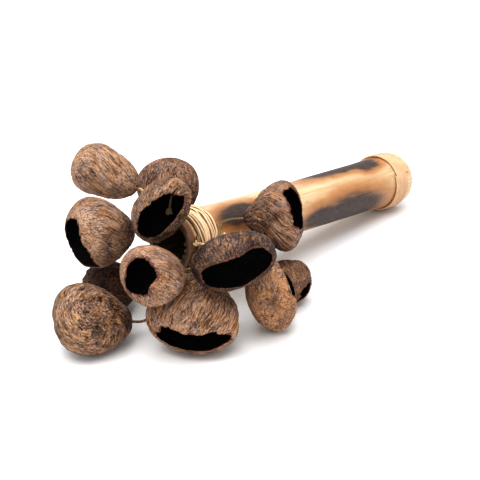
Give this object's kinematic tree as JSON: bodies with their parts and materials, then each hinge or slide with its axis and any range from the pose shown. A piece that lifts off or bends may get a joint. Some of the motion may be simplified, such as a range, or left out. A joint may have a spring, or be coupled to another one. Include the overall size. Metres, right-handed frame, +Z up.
{
  "type": "nutshell cluster rattle",
  "caption": "Shaken rattle: hollow broken nutshells hang on short cords from holes round the rim of a bamboo grip with wound cord bindings at both ends.",
  "frame": {"origin": "on the floor under the middle of the overall box of the rattle as it lies", "axes": "+Z up, +X along the grip from its open rim with the nutshells to its butt"},
  "size_m": [0.3082, 0.1504, 0.0958],
  "materials": {
    "bamboo": "satin, scorched patches",
    "nutshell": "dry and fibrous",
    "binding_cord": "twisted natural fibre",
    "cord": "twisted natural fibre"
  },
  "bodies": {
    "handle": {"culm": "bamboo", "front_binding": "binding_cord", "rear_binding": "binding_cord", "anchor_knots": "cord"},
    "cord_01_body": {"cord_01": "cord", "hitch_knot_01": "cord"},
    "nutshell_01_body": {"nutshell_01": "nutshell", "stopper_knot_01": "cord"},
    "cord_02_body": {"cord_02": "cord", "hitch_knot_02": "cord"},
    "nutshell_02_body": {"nutshell_02": "nutshell", "stopper_knot_02": "cord"},
    "cord_03_body": {"cord_03": "cord", "hitch_knot_03": "cord"},
    "nutshell_03_body": {"nutshell_03": "nutshell", "stopper_knot_03": "cord"},
    "cord_04_body": {"cord_04": "cord", "hitch_knot_04": "cord"},
    "nutshell_04_body": {"nutshell_04": "nutshell", "stopper_knot_04": "cord"},
    "cord_05_body": {"cord_05": "cord", "hitch_knot_05": "cord"},
    "nutshell_05_body": {"nutshell_05": "nutshell", "stopper_knot_05": "cord"},
    "cord_06_body": {"cord_06": "cord", "hitch_knot_06": "cord"},
    "nutshell_06_body": {"nutshell_06": "nutshell", "stopper_knot_06": "cord"},
    "cord_07_body": {"cord_07": "cord", "hitch_knot_07": "cord"},
    "nutshell_07_body": {"nutshell_07": "nutshell", "stopper_knot_07": "cord"},
    "cord_08_body": {"cord_08": "cord", "hitch_knot_08": "cord"},
    "nutshell_08_body": {"nutshell_08": "nutshell", "stopper_knot_08": "cord"},
    "cord_09_body": {"cord_09": "cord", "hitch_knot_09": "cord"},
    "nutshell_09_body": {"nutshell_09": "nutshell", "stopper_knot_09": "cord"},
    "cord_10_body": {"cord_10": "cord", "hitch_knot_10": "cord"},
    "nutshell_10_body": {"nutshell_10": "nutshell", "stopper_knot_10": "cord"},
    "cord_11_body": {"cord_11": "cord", "hitch_knot_11": "cord"},
    "nutshell_11_body": {"nutshell_11": "nutshell", "stopper_knot_11": "cord"},
    "cord_12_body": {"cord_12": "cord", "hitch_knot_12": "cord"},
    "nutshell_12_body": {"nutshell_12": "nutshell", "stopper_knot_12": "cord"}
  },
  "joints": [
    {"name": "cord_01_swing", "type": "hinge", "parent": "handle", "child": "cord_01_body", "pos_m": [-0.07018, 0.01231, 0.06105], "axis": [1, 0, 0], "range_deg": [0, 28]},
    {"name": "nutshell_01_swing", "type": "hinge", "parent": "cord_01_body", "child": "nutshell_01_body", "pos_m": [-0.05923, 0.03614, 0.06625], "axis": [0.866, 0.5, 0], "range_deg": [0, 30]},
    {"name": "cord_02_swing", "type": "hinge", "parent": "handle", "child": "cord_02_body", "pos_m": [-0.07228, 0.01891, 0.04397], "axis": [0.75, 0.433, 0.5], "range_deg": [0, 40]},
    {"name": "nutshell_02_swing", "type": "hinge", "parent": "cord_02_body", "child": "nutshell_02_body", "pos_m": [-0.03688, 0.03221, 0.03607], "axis": [0.75, 0.433, 0.5], "range_deg": [0, 35]},
    {"name": "cord_03_swing", "type": "hinge", "parent": "handle", "child": "cord_03_body", "pos_m": [-0.06968, 0.00339, 0.06518], "axis": [-0.5, 0.866, 0], "range_deg": [0, 28]},
    {"name": "nutshell_03_swing", "type": "hinge", "parent": "cord_03_body", "child": "nutshell_03_body", "pos_m": [-0.0679, 0.0013, 0.07659], "axis": [-0.5, 0.866, 0], "range_deg": [0, 30]},
    {"name": "cord_04_swing", "type": "hinge", "parent": "handle", "child": "cord_04_body", "pos_m": [-0.07109, 0.01771, 0.05366], "axis": [0.75, 0.433, -0.5], "range_deg": [0, 30]},
    {"name": "nutshell_04_swing", "type": "hinge", "parent": "cord_04_body", "child": "nutshell_04_body", "pos_m": [-0.07893, 0.02192, 0.05015], "axis": [-0.866, 0.5, 0], "range_deg": [0, 35]},
    {"name": "cord_05_swing", "type": "hinge", "parent": "handle", "child": "cord_05_body", "pos_m": [-0.07354, -0.01382, 0.03373], "axis": [-0.866, 0.5, 0], "range_deg": [0, 7.5]},
    {"name": "nutshell_05_swing", "type": "hinge", "parent": "cord_05_body", "child": "nutshell_05_body", "pos_m": [-0.09511, -0.02993, 0.04813], "axis": [-0.866, 0.5, 0], "range_deg": [0, 35]},
    {"name": "cord_06_swing", "type": "hinge", "parent": "handle", "child": "cord_06_body", "pos_m": [-0.07128, -0.01809, 0.05211], "axis": [-0.433, 0.75, 0.5], "range_deg": [0, 32]},
    {"name": "nutshell_06_swing", "type": "hinge", "parent": "cord_06_body", "child": "nutshell_06_body", "pos_m": [-0.06733, -0.03754, 0.05963], "axis": [-0.866, 0.5, 0], "range_deg": [0, 35]},
    {"name": "cord_07_swing", "type": "hinge", "parent": "handle", "child": "cord_07_body", "pos_m": [-0.07208, -0.0189, 0.04561], "axis": [-0.5, -0.866, 0], "range_deg": [0, 32]},
    {"name": "nutshell_07_swing", "type": "hinge", "parent": "cord_07_body", "child": "nutshell_07_body", "pos_m": [-0.0362, -0.01861, 0.05589], "axis": [-0.5, -0.866, 0], "range_deg": [0, 35]},
    {"name": "cord_08_swing", "type": "hinge", "parent": "handle", "child": "cord_08_body", "pos_m": [-0.07421, 0.00469, 0.02829], "axis": [0, 0, -1], "range_deg": [0, 12]},
    {"name": "nutshell_08_swing", "type": "hinge", "parent": "cord_08_body", "child": "nutshell_08_body", "pos_m": [-0.10448, -0.0016, 0.00964], "axis": [0, 0, -1], "range_deg": [0, 18]},
    {"name": "cord_09_swing", "type": "hinge", "parent": "handle", "child": "cord_09_body", "pos_m": [-0.07286, -0.01741, 0.03922], "axis": [0, 0, -1], "range_deg": [0, 3.5]},
    {"name": "nutshell_09_swing", "type": "hinge", "parent": "cord_09_body", "child": "nutshell_09_body", "pos_m": [-0.0735, -0.02697, 0.0411], "axis": [0, 0, -1], "range_deg": [0, 12]},
    {"name": "cord_10_swing", "type": "hinge", "parent": "handle", "child": "cord_10_body", "pos_m": [-0.07402, -0.00854, 0.02978], "axis": [0, 0, -1], "range_deg": [0, 6]},
    {"name": "nutshell_10_swing", "type": "hinge", "parent": "cord_10_body", "child": "nutshell_10_body", "pos_m": [-0.03437, -0.03746, 0.02494], "axis": [0, 0, -1], "range_deg": [0, 12]},
    {"name": "cord_11_swing", "type": "hinge", "parent": "handle", "child": "cord_11_body", "pos_m": [-0.07426, -0.0019, 0.02783], "axis": [0, 0, 1], "range_deg": [0, 10]},
    {"name": "nutshell_11_swing", "type": "hinge", "parent": "cord_11_body", "child": "nutshell_11_body", "pos_m": [-0.01949, -0.02103, 0.01616], "axis": [0, 0, 1], "range_deg": [0, 21]},
    {"name": "cord_12_swing", "type": "hinge", "parent": "handle", "child": "cord_12_body", "pos_m": [-0.07351, 0.01422, 0.03397], "axis": [0, 0, -1], "range_deg": [0, 40]},
    {"name": "nutshell_12_swing", "type": "hinge", "parent": "cord_12_body", "child": "nutshell_12_body", "pos_m": [-0.06937, 0.04057, 0.01294], "axis": [0, 0, -1], "range_deg": [0, 35]}
  ]
}
